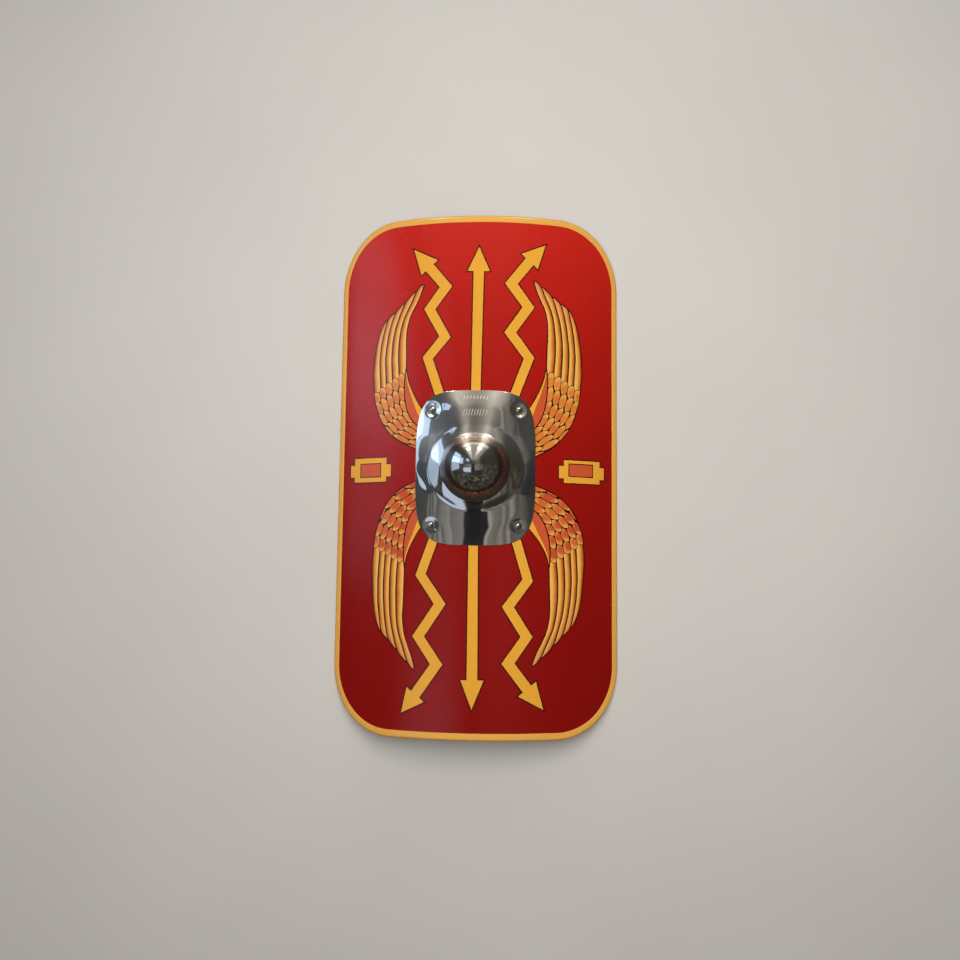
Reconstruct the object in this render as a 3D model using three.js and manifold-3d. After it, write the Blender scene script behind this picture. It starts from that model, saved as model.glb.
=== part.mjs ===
// A Roman legionary's scutum: a bent wooden board with a channel edging, a domed steel boss and a hand grip.
// It lies on its two long edges with the painted face up.
// Millimetres. X runs across the shield, +Y points to its top, and +Z is up, out of the painted face.

import * as THREE from 'three';
import { mergeVertices } from 'three/addons/utils/BufferGeometryUtils.js';
import { ParametricGeometry } from 'three/addons/geometries/ParametricGeometry.js';
import Module from 'manifold-3d';

// ---------------------------------------------------------------- driving dimensions

const SHIELD_HEIGHT = 1050;    // top to bottom, over the edging
const SHIELD_ARC = 616;        // side to side along the painted face, over the edging
const CORNER_RADIUS = 139;     // of the outline, over the edging
const FACE_RADIUS = 520;       // bend of the painted face
const BOARD_THICKNESS = 9;
const GAP = 0.3;               // between pieces that touch

const EDGING_DEPTH = 15;       // from the outermost line to the inner edge of a lip
const EDGING_SHEET = 1.2;
const LIP_CHAMFER = 0.4;
const REST_FLAT = 4;           // width of the flat cut on the bead, where the edging rests

const BOSS_CENTRE_Y = 8;       // the boss sits a little above the middle of the board
const BOSS_HALF_WIDTH = 121;   // along the bend
const BOSS_HALF_HEIGHT = 155;
const BOSS_SQUARENESS = 4;     // exponent of the plate's rounded outline
const BOSS_SHEET = 1.5;
const DOME_RADIUS = 68;        // at the crease where the dome meets the collar
const DOME_HEIGHT = 62;        // above the crease
const COLLAR_RADIUS = 98;      // where the collar has flattened into the plate
const COLLAR_HEIGHT = 5;       // of the crease above the plate, on the middle line

const HAND_HOLE_RADIUS = 64;

const RIVET_ACROSS = 87;       // from the middle line, along the bend
const RIVET_ALONG = 116;       // from the middle of the boss
const RIVET_SHANK = 2.5;
const RIVET_HEAD = 6;
const RIVET_HEAD_HEIGHT = 4;
const RIVET_TAIL = 6.5;
const RIVET_TAIL_HEIGHT = 2.2;

const GRIP_LENGTH = 250;
const GRIP_WIDTH = 34;
const GRIP_PAD = 46;           // length of each flat end
const GRIP_END_THICKNESS = 14; // at the outer end of a pad, below the board
const GRIP_BAR = 30;           // thickness in the middle
const GRIP_DROP = 2;           // of the bar's top below the board, in the middle
const GRIP_WAIST = 3;          // how much narrower the bar is in the middle
const GRIP_EDGE_RADIUS = 3;    // of the pads' long edges

const SCREW_ACROSS = 102;      // from the middle line
const SCREW_ALONG = 9;         // from the middle line of the grip
const SCREW_SHANK = 2;
const SCREW_HEAD = 4.5;
const SCREW_HEAD_HEIGHT = 2.6;
const SCREW_COVER = 2.5;       // wood left between the screw's tip and the painted face
const SLOT_WIDTH = 1.1;
const SLOT_DEPTH = 1;

// How finely round forms are divided.
const CORNER_STEPS = 10;
const END_STEPS = 16;
const BEAD_STEPS = 6;
const BOSS_STEPS = 60;
const BOSS_CROWDING = 0.35;    // how far the boss's columns crowd towards the corners of its plate
const DOME_ROWS = 6;
const COLLAR_ROWS = 3;
const PLATE_ROWS = 3;
const HOLE_STEPS = 40;
const ROUND_STEPS = 12;
const GRIP_CORNER_STEPS = 3;
const GRIP_PAD_STEPS = 3;
const GRIP_BAR_STEPS = 10;

const BEAD_RADIUS = BOARD_THICKNESS / 2 + GAP + EDGING_SHEET;
const BEAD_ANGLE = (SHIELD_ARC / 2 - BEAD_RADIUS) / FACE_RADIUS;
const FLAT_DEPTH = BEAD_RADIUS - Math.sqrt(BEAD_RADIUS ** 2 - (REST_FLAT / 2) ** 2);

// The bend's axis lies this far above the ground, so that the flats on the edging meet the ground.
const AXIS_Z = BEAD_RADIUS - FLAT_DEPTH - (FACE_RADIUS - BOARD_THICKNESS / 2) * Math.cos(BEAD_ANGLE);
const BACK_RADIUS = FACE_RADIUS - BOARD_THICKNESS;
const PAD_INNER = GRIP_LENGTH / 2 - GRIP_PAD;
const PAD_BOTTOM = levelAt(GRIP_LENGTH / 2, BACK_RADIUS) - GAP - GRIP_END_THICKNESS;

const wasm = await Module();
wasm.setup();

// ---------------------------------------------------------------- helpers

// Bends a place on the flat shield: across and along the painted face, and out from it.
function bend(across, along, out, target = new THREE.Vector3()) {
  const angle = across / FACE_RADIUS;
  const radius = FACE_RADIUS + out;
  return target.set(radius * Math.sin(angle), along, AXIS_Z + radius * Math.cos(angle));
}

// Height above the ground of a surface of the bent board, at a distance from the middle line.
function levelAt(x, radius) {
  return AXIS_Z + Math.sqrt(radius ** 2 - x ** 2);
}

// Merges shared corners and drops the triangles that collapse at a pole.
function weld(geometry) {
  const bare = geometry.clone();
  bare.deleteAttribute('normal');
  bare.deleteAttribute('uv');
  const merged = mergeVertices(bare, 1e-4);
  const index = merged.index.array;
  const kept = [];
  for (let i = 0; i < index.length; i += 3) {
    const [a, b, c] = [index[i], index[i + 1], index[i + 2]];
    if (a !== b && b !== c && c !== a) kept.push(a, b, c);
  }
  merged.setIndex(kept);
  return merged;
}

function solid(geometry) {
  const welded = weld(geometry);
  const vertProperties = Float32Array.from(welded.attributes.position.array);
  const triVerts = Uint32Array.from(welded.index.array);
  return new wasm.Manifold(new wasm.Mesh({ numProp: 3, vertProperties, triVerts }));
}

function geometryOf(manifold) {
  const mesh = manifold.getMesh();
  const geometry = new THREE.BufferGeometry();
  geometry.setAttribute('position', new THREE.BufferAttribute(Float32Array.from(mesh.vertProperties), 3));
  geometry.setIndex(Array.from(mesh.triVerts));
  return geometry;
}

function material(color, roughness, metalness) {
  return new THREE.MeshStandardMaterial({ color, roughness, metalness });
}

function piece(name, geometry, look) {
  const mesh = new THREE.Mesh(geometry, look);
  mesh.name = name;
  return mesh;
}

// A round body turned about Z, from [radius, height] points that start and end on the axis.
function turned(profile) {
  const points = profile.map(([radius, height]) => new THREE.Vector2(radius, height));
  return new THREE.LatheGeometry(points, ROUND_STEPS).rotateX(Math.PI / 2);
}

// Points of a low dome of the given rim radius and height, from the rim to the crown.
function capProfile(radius, base, height, steps = 4) {
  const points = [];
  for (let i = 0; i <= steps; i += 1) {
    const angle = (Math.PI / 2) * (i / steps);
    points.push([i === steps ? 0 : radius * Math.cos(angle), base + height * Math.sin(angle)]);
  }
  return points;
}

// A cylinder along Z between two heights, for cutting holes.
function bore(radius, bottom, top, steps = ROUND_STEPS) {
  const cylinder = new THREE.CylinderGeometry(radius, radius, top - bottom, steps);
  return cylinder.rotateX(Math.PI / 2).translate(0, 0, (top + bottom) / 2);
}

// Turns something that stands on the middle of the face to another place on the bent face.
function placeOnFace(object, across, along) {
  bend(across, along, 0, object.position);
  object.rotation.y = across / FACE_RADIUS;
  object.updateMatrix();
  return object;
}

// ---------------------------------------------------------------- board

// Half the board's height at each of the columns that it is divided into across the bend.
function boardColumns() {
  const halfWidth = SHIELD_ARC / 2 - BEAD_RADIUS;
  const halfHeight = SHIELD_HEIGHT / 2 - BEAD_RADIUS;
  const radius = CORNER_RADIUS - BEAD_RADIUS;
  const right = [];
  for (let i = 1; i <= CORNER_STEPS; i += 1) {
    const angle = (Math.PI / 2) * (i / CORNER_STEPS);
    const across = halfWidth - radius + radius * Math.sin(angle);
    right.push({ across, half: halfHeight - radius + radius * Math.cos(angle) });
  }
  const middle = [];
  for (let i = 0; i <= END_STEPS; i += 1) {
    middle.push({ across: (halfWidth - radius) * ((2 * i) / END_STEPS - 1), half: halfHeight });
  }
  const left = right.map(({ across, half }) => ({ across: -across, half })).reverse();
  return [...left, ...middle, ...right];
}

// A flat slab, one column wide for each step, is stretched to the outline and bent.
function boardBlank() {
  const columns = boardColumns();
  const steps = columns.length - 1;
  const slab = new THREE.BoxGeometry(steps, 2, 1, steps, 1, 1);
  const corners = slab.attributes.position;
  const place = new THREE.Vector3();
  for (let i = 0; i < corners.count; i += 1) {
    const column = columns[Math.round(corners.getX(i) + steps / 2)];
    const out = (corners.getZ(i) - 0.5) * BOARD_THICKNESS;
    bend(column.across, corners.getY(i) * column.half, out, place);
    corners.setXYZ(i, place.x, place.y, place.z);
  }
  return slab;
}

function makeBoard() {
  let board = solid(boardBlank());
  const handHole = bore(HAND_HOLE_RADIUS, AXIS_Z, AXIS_Z + 2 * FACE_RADIUS, HOLE_STEPS);
  board = board.subtract(solid(handHole.translate(0, BOSS_CENTRE_Y, 0)));
  for (const [across, along] of rivetPlaces()) {
    const hole = bore(RIVET_SHANK + GAP, -2 * BOARD_THICKNESS, BOARD_THICKNESS);
    const cutter = placeOnFace(new THREE.Object3D(), across, along);
    board = board.subtract(solid(hole.applyMatrix4(cutter.matrix)));
  }
  for (const [x, y] of screwPlaces()) {
    const tip = levelAt(x, FACE_RADIUS) - SCREW_COVER;
    const hole = bore(SCREW_SHANK + GAP, AXIS_Z, tip + GAP);
    board = board.subtract(solid(hole.translate(x, y, 0)));
  }
  return geometryOf(board);
}

// ---------------------------------------------------------------- edging

// The shield's outline on the flat, anticlockwise, with the way out at each point.
function outlineStations() {
  const cornerX = SHIELD_ARC / 2 - CORNER_RADIUS;
  const cornerY = SHIELD_HEIGHT / 2 - CORNER_RADIUS;
  const stations = [];
  for (let corner = 0; corner < 4; corner += 1) {
    const sideX = corner === 0 || corner === 3 ? 1 : -1;
    const sideY = corner < 2 ? 1 : -1;
    for (let i = 0; i <= CORNER_STEPS; i += 1) {
      const angle = (Math.PI / 2) * (corner + i / CORNER_STEPS);
      const way = new THREE.Vector2(Math.cos(angle), Math.sin(angle));
      const point = new THREE.Vector2(sideX * cornerX, sideY * cornerY).addScaledVector(way, CORNER_RADIUS);
      stations.push({ point, way });
    }
    const alongAnEnd = corner % 2 === 0;
    for (let i = 1; alongAnEnd && i < END_STEPS; i += 1) {
      const across = sideY * cornerX * (1 - (2 * i) / END_STEPS);
      const point = new THREE.Vector2(across, (sideY * SHIELD_HEIGHT) / 2);
      stations.push({ point, way: new THREE.Vector2(0, sideY) });
    }
  }
  return stations;
}

// The channel's section: x is the way out from the outermost line, y is out from the painted face.
function edgingSection() {
  const middle = -BOARD_THICKNESS / 2;
  const inner = BEAD_RADIUS - EDGING_SHEET;
  const channel = new THREE.Path();
  channel.moveTo(-EDGING_DEPTH, middle + inner);
  channel.lineTo(-EDGING_DEPTH, middle + BEAD_RADIUS - LIP_CHAMFER);
  channel.lineTo(-EDGING_DEPTH + LIP_CHAMFER, middle + BEAD_RADIUS);
  channel.absarc(-BEAD_RADIUS, middle, BEAD_RADIUS, Math.PI / 2, -Math.PI / 2, true);
  channel.lineTo(-EDGING_DEPTH, middle - BEAD_RADIUS);
  channel.lineTo(-EDGING_DEPTH, middle - inner);
  channel.absarc(-BEAD_RADIUS, middle, inner, -Math.PI / 2, Math.PI / 2, false);
  return channel.getPoints(BEAD_STEPS / 2);
}

function makeEdging() {
  const stations = outlineStations();
  const section = edgingSection();
  const sweep = (u, v, target) => {
    const { x, y } = section[Math.round(u * section.length) % section.length];
    const { point, way } = stations[Math.round(v * stations.length) % stations.length];
    bend(point.x + way.x * x, point.y + way.y * x, y, target);
  };
  const channel = solid(new ParametricGeometry(sweep, section.length, stations.length));
  const ground = new THREE.BoxGeometry(2 * SHIELD_ARC, 2 * SHIELD_HEIGHT, SHIELD_ARC);
  return geometryOf(channel.subtract(solid(ground.translate(0, 0, -SHIELD_ARC / 2))));
}

// ---------------------------------------------------------------- boss

// Distance from the middle of the plate to its rounded outline.
function plateReach(angle) {
  const across = Math.abs(Math.cos(angle)) / BOSS_HALF_WIDTH;
  const along = Math.abs(Math.sin(angle)) / BOSS_HALF_HEIGHT;
  return (across ** BOSS_SQUARENESS + along ** BOSS_SQUARENESS) ** (-1 / BOSS_SQUARENESS);
}

// One side of the sheet, as rows from the crown of the dome to the edge of the plate. The inner
// side lies a sheet's thickness within the outer one.
function bossRows(inset) {
  const plateOut = GAP + BOSS_SHEET - inset;
  const crease = AXIS_Z + FACE_RADIUS + GAP + BOSS_SHEET + COLLAR_HEIGHT;
  const sphere = (DOME_RADIUS ** 2 + DOME_HEIGHT ** 2) / (2 * DOME_HEIGHT);
  const sphereZ = crease + DOME_HEIGHT - sphere;
  const ringRadius = DOME_RADIUS - inset;
  const domeSweep = Math.acos((crease - inset - sphereZ) / (sphere - inset));
  const collarWidth = COLLAR_RADIUS - ringRadius;
  const rows = [];
  for (let i = 0; i < DOME_ROWS; i += 1) {
    const tilt = domeSweep * (i / DOME_ROWS);
    const radius = (sphere - inset) * Math.sin(tilt);
    const height = sphereZ + (sphere - inset) * Math.cos(tilt);
    rows.push((angle) => new THREE.Vector3(radius * Math.cos(angle), radius * Math.sin(angle), height));
  }
  for (let i = 0; i < COLLAR_ROWS; i += 1) {
    const part = i / COLLAR_ROWS;
    const radius = ringRadius + collarWidth * part;
    rows.push((angle) => {
      const place = bend(radius * Math.cos(angle), radius * Math.sin(angle), plateOut);
      const foot = bend(ringRadius * Math.cos(angle), 0, plateOut);
      place.z += (crease - inset - foot.z) * (1 - part) ** 2;
      return place;
    });
  }
  for (let i = 0; i <= PLATE_ROWS; i += 1) {
    rows.push((angle) => {
      const radius = THREE.MathUtils.lerp(COLLAR_RADIUS, plateReach(angle), i / PLATE_ROWS);
      return bend(radius * Math.cos(angle), radius * Math.sin(angle), plateOut);
    });
  }
  return rows;
}

function makeBoss() {
  const rows = [...bossRows(0), ...bossRows(BOSS_SHEET).reverse()];
  const skin = (u, v, target) => {
    const even = 2 * Math.PI * (Math.round(v * BOSS_STEPS) % BOSS_STEPS) / BOSS_STEPS;
    const angle = even + BOSS_CROWDING * Math.sin(4 * even) / 4;
    target.copy(rows[Math.round(u * (rows.length - 1))](angle));
    target.y += BOSS_CENTRE_Y;
  };
  let boss = solid(new ParametricGeometry(skin, rows.length - 1, BOSS_STEPS));
  for (const [across, along] of rivetPlaces()) {
    const hole = bore(RIVET_SHANK + GAP, -BOARD_THICKNESS, BOARD_THICKNESS);
    const cutter = placeOnFace(new THREE.Object3D(), across, along);
    boss = boss.subtract(solid(hole.applyMatrix4(cutter.matrix)));
  }
  return geometryOf(boss);
}

// ---------------------------------------------------------------- boss rivets

function rivetPlaces() {
  const places = [];
  for (const up of [1, -1]) {
    for (const right of [-1, 1]) {
      places.push([right * RIVET_ACROSS, BOSS_CENTRE_Y + up * RIVET_ALONG]);
    }
  }
  return places;
}

// A round head on the boss, and a tail hammered over behind the board.
function makeRivet() {
  const headBase = GAP + BOSS_SHEET + GAP;
  const tailBase = -BOARD_THICKNESS - GAP;
  const tail = capProfile(RIVET_TAIL, 0, RIVET_TAIL_HEIGHT, 3).reverse();
  const head = capProfile(RIVET_HEAD, headBase, RIVET_HEAD_HEIGHT);
  return turned([
    ...tail.map(([radius, height]) => [radius, tailBase - height]),
    [RIVET_SHANK, tailBase],
    [RIVET_SHANK, headBase],
    ...head,
  ]);
}

// ---------------------------------------------------------------- grip

// A rounded rectangle on end, in Y and Z, for one station along the grip.
function gripSection(width, bottom, top, radius) {
  const points = [];
  for (let corner = 0; corner < 4; corner += 1) {
    const sideY = corner === 0 || corner === 3 ? 1 : -1;
    const cornerZ = corner < 2 ? top - radius : bottom + radius;
    for (let i = 0; i <= GRIP_CORNER_STEPS; i += 1) {
      const angle = (Math.PI / 2) * (corner + i / GRIP_CORNER_STEPS);
      const y = sideY * (width / 2 - radius) + radius * Math.cos(angle);
      points.push([y, cornerZ + radius * Math.sin(angle)]);
    }
  }
  return points;
}

// The grip at one place along it: a flat pad under the board, or the bar that swells between the pads.
function gripStation(x) {
  const swell = Math.abs(x) >= PAD_INNER ? 0 : Math.cos((Math.PI / 2) * (x / PAD_INNER)) ** 2;
  const top = levelAt(x, BACK_RADIUS) - GAP - swell * GRIP_DROP;
  const barBottom = levelAt(0, BACK_RADIUS) - GAP - GRIP_DROP - GRIP_BAR;
  const bottom = THREE.MathUtils.lerp(PAD_BOTTOM, barBottom, swell);
  const roundest = GRIP_BAR / 2 - 1;
  const radius = THREE.MathUtils.lerp(GRIP_EDGE_RADIUS, roundest, Math.sqrt(swell));
  return { x, section: gripSection(GRIP_WIDTH - swell * GRIP_WAIST, bottom, top, radius) };
}

// A station shrunk to the middle of its section, which closes an end of the grip.
function shrunk({ x, section }) {
  const heights = section.map(([, z]) => z);
  const middle = (Math.min(...heights) + Math.max(...heights)) / 2;
  return { x, section: section.map(() => [0, middle]) };
}

function gripStations() {
  const right = [];
  for (let i = 0; i < GRIP_BAR_STEPS / 2; i += 1) right.push((2 * PAD_INNER * (i + 0.5)) / GRIP_BAR_STEPS);
  for (let i = 0; i <= GRIP_PAD_STEPS; i += 1) right.push(PAD_INNER + (GRIP_PAD * i) / GRIP_PAD_STEPS);
  const left = right.map((x) => -x).reverse();
  const stations = [...left, ...right].map(gripStation);
  return [shrunk(stations[0]), ...stations, shrunk(stations.at(-1))];
}

function makeGrip() {
  const stations = gripStations();
  const around = stations[0].section.length;
  const skin = (u, v, target) => {
    const { x, section } = stations[Math.round(v * (stations.length - 1))];
    const [y, z] = section[Math.round(u * around) % around];
    target.set(x, BOSS_CENTRE_Y + y, z);
  };
  let grip = solid(new ParametricGeometry(skin, around, stations.length - 1));
  for (const [x, y] of screwPlaces()) {
    const hole = bore(SCREW_SHANK + GAP, AXIS_Z, AXIS_Z + 2 * FACE_RADIUS);
    grip = grip.subtract(solid(hole.translate(x, y, 0)));
  }
  return geometryOf(grip);
}

// ---------------------------------------------------------------- grip screws

function screwPlaces() {
  const places = [];
  for (const up of [1, -1]) {
    for (const right of [-1, 1]) {
      places.push([right * SCREW_ACROSS, BOSS_CENTRE_Y + up * SCREW_ALONG]);
    }
  }
  return places;
}

// A slotted round-head wood screw, head down, driven up through a pad into the board.
function makeScrew() {
  const headBase = PAD_BOTTOM - GAP;
  const tip = levelAt(SCREW_ACROSS, FACE_RADIUS) - SCREW_COVER;
  const head = capProfile(SCREW_HEAD, 0, SCREW_HEAD_HEIGHT).reverse();
  const screw = solid(turned([
    ...head.map(([radius, height]) => [radius, headBase - height]),
    [SCREW_SHANK, headBase],
    [SCREW_SHANK, tip - SCREW_SHANK],
    [0, tip],
  ]));
  const slot = new THREE.BoxGeometry(3 * SCREW_HEAD, SLOT_WIDTH, 2 * SLOT_DEPTH);
  slot.translate(0, 0, headBase - SCREW_HEAD_HEIGHT);
  return geometryOf(screw.subtract(solid(slot)));
}

// ---------------------------------------------------------------- assembly

const paintedWood = material(0xa3191a, 0.35, 0);
const paintedEdging = material(0xe0a63e, 0.35, 0);
const polishedSteel = material(0xb8b8b4, 0.2, 1);
const rivetSteel = material(0x8f8f8c, 0.3, 1);
const gripWood = material(0x8a5a30, 0.55, 0);
const screwSteel = material(0x8a8a86, 0.4, 1);

const scutum = new THREE.Group();
scutum.add(piece('board', makeBoard(), paintedWood));
scutum.add(piece('edging', makeEdging(), paintedEdging));
scutum.add(piece('boss', makeBoss(), polishedSteel));

const cornerNames = ['top_left', 'top_right', 'bottom_left', 'bottom_right'];
rivetPlaces().forEach(([across, along], i) => {
  const rivet = piece(`boss_rivet_${cornerNames[i]}`, weld(makeRivet()), rivetSteel);
  scutum.add(placeOnFace(rivet, across, along));
});

scutum.add(piece('grip', makeGrip(), gripWood));
screwPlaces().forEach(([x, y], i) => {
  const screw = piece(`grip_screw_${cornerNames[i]}`, makeScrew(), screwSteel);
  screw.position.set(x, y, 0);
  scutum.add(screw);
});

export default scutum;
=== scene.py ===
import math
import random

import bmesh
import bpy
import numpy as np
from mathutils import Matrix, Vector, noise
from mathutils.geometry import delaunay_2d_cdt


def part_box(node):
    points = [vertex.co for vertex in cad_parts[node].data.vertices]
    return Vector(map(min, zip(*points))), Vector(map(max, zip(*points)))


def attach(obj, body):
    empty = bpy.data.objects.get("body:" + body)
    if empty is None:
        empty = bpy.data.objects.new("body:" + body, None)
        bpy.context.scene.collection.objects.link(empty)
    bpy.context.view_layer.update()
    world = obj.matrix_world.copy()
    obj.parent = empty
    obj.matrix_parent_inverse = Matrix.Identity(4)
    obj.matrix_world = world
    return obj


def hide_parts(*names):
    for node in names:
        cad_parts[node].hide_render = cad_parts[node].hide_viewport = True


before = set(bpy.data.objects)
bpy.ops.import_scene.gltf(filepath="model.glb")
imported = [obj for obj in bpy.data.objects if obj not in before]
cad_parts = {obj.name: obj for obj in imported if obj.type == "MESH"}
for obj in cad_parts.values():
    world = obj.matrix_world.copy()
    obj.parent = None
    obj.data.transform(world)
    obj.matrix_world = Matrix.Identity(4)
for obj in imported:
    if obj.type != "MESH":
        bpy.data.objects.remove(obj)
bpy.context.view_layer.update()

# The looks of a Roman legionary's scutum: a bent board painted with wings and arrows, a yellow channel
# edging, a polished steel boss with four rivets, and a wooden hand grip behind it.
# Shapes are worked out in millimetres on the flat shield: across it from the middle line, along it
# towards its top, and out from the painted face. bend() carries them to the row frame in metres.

MM = 0.001

# ---------------------------------------------------------------- sizes, as in the CAD source

SHIELD_HEIGHT = 1050
SHIELD_ARC = 616
CORNER_RADIUS = 139
FACE_RADIUS = 520
BOARD_THICKNESS = 9
GAP = 0.3
EDGING_DEPTH = 15
EDGING_SHEET = 1.2
BEAD_RADIUS = BOARD_THICKNESS / 2 + GAP + EDGING_SHEET
BOSS_HALF_WIDTH = 121
BOSS_HALF_HEIGHT = 155
BOSS_SQUARENESS = 4
BOSS_SHEET = 1.5
DOME_RADIUS = 68
DOME_HEIGHT = 62
COLLAR_RADIUS = 98
COLLAR_HEIGHT = 5
HAND_HOLE_RADIUS = 64
RIVET_ACROSS = 87
RIVET_ALONG = 116
RIVET_SHANK = 2.5
RIVET_HEAD = 6
RIVET_HEAD_HEIGHT = 4
RIVET_TAIL = 6.5
RIVET_TAIL_HEIGHT = 2.2
GRIP_LENGTH = 250
GRIP_WIDTH = 34
GRIP_PAD = 46
GRIP_BAR = 30
GRIP_DROP = 2
GRIP_WAIST = 3
GRIP_EDGE_RADIUS = 3
SCREW_ACROSS = 102
SCREW_ALONG = 9
SCREW_SHANK = 2
SCREW_HEAD = 4.5
SCREW_HEAD_HEIGHT = 2.6
SCREW_COVER = 2.5
SLOT_WIDTH = 1.1
SLOT_DEPTH = 1

AXIS_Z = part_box("board")[1].z / MM - FACE_RADIUS
BOSS_CENTRE_Y = (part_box("boss")[0].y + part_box("boss")[1].y) / 2 / MM
PAD_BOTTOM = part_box("grip_screw_top_left")[0].z / MM + SCREW_HEAD_HEIGHT + GAP
BACK_RADIUS = FACE_RADIUS - BOARD_THICKNESS
PAD_INNER = GRIP_LENGTH / 2 - GRIP_PAD
CREASE_Z = AXIS_Z + FACE_RADIUS + GAP + BOSS_SHEET + COLLAR_HEIGHT
QUADRANTS = {"top_left": (-1, 1), "top_right": (1, 1), "bottom_left": (-1, -1), "bottom_right": (1, -1)}
CORNERS = (1, 1), (-1, 1), (-1, -1), (1, -1)


def bend(across, along, out=0.0):
    """A place on the flat shield, in millimetres, carried to the bent one."""
    angle = across / FACE_RADIUS
    radius = FACE_RADIUS + out
    return Vector((radius * math.sin(angle), along, AXIS_Z + radius * math.cos(angle)))


def outward(across):
    """The way straight out of the painted face."""
    angle = across / FACE_RADIUS
    return Vector((math.sin(angle), 0, math.cos(angle)))


def level_at(x, radius):
    return AXIS_Z + math.sqrt(radius**2 - x**2)


def lerp(a, b, part):
    return a + (b - a) * part


def turned_on(row):
    """The closed row, started one place later."""
    return row[1:] + row[:1]


def round_turn(steps):
    return [2 * math.pi * i / steps for i in range(steps)]


# ---------------------------------------------------------------- flat curves and regions


def curve(points, step=2.5):
    """A smooth line through the points, in even short steps."""
    points = [np.array(p, float) for p in points]
    ends = [2 * points[0] - points[1], *points, 2 * points[-1] - points[-2]]
    line = []
    for a, b, c, d in zip(ends, ends[1:], ends[2:], ends[3:]):
        steps = max(1, round(np.linalg.norm(c - b) / step))
        bow, twist = 2 * a - 5 * b + 4 * c - d, 3 * b - a - 3 * c + d
        for i in range(steps):
            t = i / steps
            line.append(0.5 * (2 * b + (c - a) * t + bow * t**2 + twist * t**3))
    return np.array([*line, points[-1]])


def side_ways(line, closed=False):
    """The way to the right at each point, lengthened at corners so that an offset stays parallel."""
    before = np.roll(line, 1, 0) if closed else np.vstack([2 * line[0] - line[1], line[:-1]])
    after = np.roll(line, -1, 0) if closed else np.vstack([line[1:], 2 * line[-1] - line[-2]])

    def right(steps):
        steps = steps / np.maximum(np.linalg.norm(steps, axis=1, keepdims=True), 1e-9)
        return np.stack([steps[:, 1], -steps[:, 0]], 1)

    both = right(line - before) + right(after - line)
    return 2 * both / np.maximum((both**2).sum(1, keepdims=True), 0.3)


def band(line, width):
    """The region of a painted line. width is one number, or one for each point."""
    half = side_ways(line) * (np.broadcast_to(width, len(line)) / 2)[:, None]
    return turned_left(np.vstack([line + half, (line - half)[::-1]]))


def turned_left(region):
    """The region's outline, running anticlockwise."""
    x, y = region.T
    area = (x * np.roll(y, -1) - np.roll(x, -1) * y).sum()
    return region if area > 0 else region[::-1]


def grown(region, by):
    """The region with its outline moved outwards, or inwards where by is below 0."""
    region = turned_left(region)
    return region + side_ways(region, closed=True) * by


def turns_round(region, points):
    """How many times the region's outline goes round each point."""
    turns = np.zeros(len(points), int)
    low, high = region.min(0), region.max(0)
    near = np.nonzero(((points >= low) & (points <= high)).all(1))[0]
    x, y = points[near].T
    found = np.zeros(len(near), int)
    for (x0, y0), (x1, y1) in zip(region, np.roll(region, -1, 0)):
        side = (x1 - x0) * (y - y0) - (x - x0) * (y1 - y0)
        found += (y0 <= y) & (y1 > y) & (side > 0)
        found -= (y0 > y) & (y1 <= y) & (side < 0)
    turns[near] = found
    return turns


def ring(centre, radius, steps):
    angles = 2 * math.pi * np.arange(steps) / steps
    return np.stack([centre[0] + radius * np.cos(angles), centre[1] + radius * np.sin(angles)], 1)


def rounded(half_width, half_height, radius, corner_steps):
    """A rounded oblong round the middle, without points along its straight sides."""
    region = []
    for corner, (side_x, side_y) in enumerate(CORNERS):
        for i in range(corner_steps + 1):
            angle = math.pi / 2 * (corner + i / corner_steps)
            x = side_x * (half_width - radius) + radius * math.cos(angle)
            y = side_y * (half_height - radius) + radius * math.sin(angle)
            region.append((x, y))
    return np.array(region)


def grid_over(half_width, half_height, step_x, step_y):
    across = np.arange(-half_width, half_width + 1, step_x)
    along = np.arange(-half_height, half_height + 1, step_y)
    return np.array([(x, y) for x in across for y in along], float)


def subdivided(region, step):
    """The closed outline with its long straight runs cut into steps."""
    out = []
    for a, b in zip(region, np.roll(region, -1, 0)):
        steps = max(1, math.ceil(np.linalg.norm(b - a) / step))
        out += [a + (b - a) * i / steps for i in range(steps)]
    return np.array(out)


class Sheet:
    """A flat region divided into triangles that follow every line drawn on it."""

    def __init__(self):
        self.points, self.edges = [], []

    def loop(self, region):
        """Draws a closed line and returns the numbers of its points."""
        first = len(self.points)
        self.points += [Vector(p) for p in region]
        ids = list(range(first, len(self.points)))
        self.edges += list(zip(ids, ids[1:] + ids[:1]))
        return ids

    def scatter(self, points):
        self.points += [Vector(p) for p in points]

    def divide(self):
        """Divides the sheet, and finds each drawn point again in places."""
        made = delaunay_2d_cdt(self.points, self.edges, [], 0, 1e-4)
        self.vertices = np.array([list(v) for v in made[0]])
        self.triangles = np.array(made[2])
        self.places = {first: i for i, firsts in enumerate(made[3]) for first in firsts}
        self.middles = self.vertices[self.triangles].mean(1)
        return self

    def keep(self, outline, holes):
        """Drops the triangles outside the outline or inside a hole."""
        kept = turns_round(outline, self.middles) > 0
        for hole in holes:
            kept &= turns_round(hole, self.middles) == 0
        self.triangles, self.middles = self.triangles[kept], self.middles[kept]
        return self


# ---------------------------------------------------------------- meshes

TO_METRES = Matrix.Scale(MM, 4)


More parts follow.
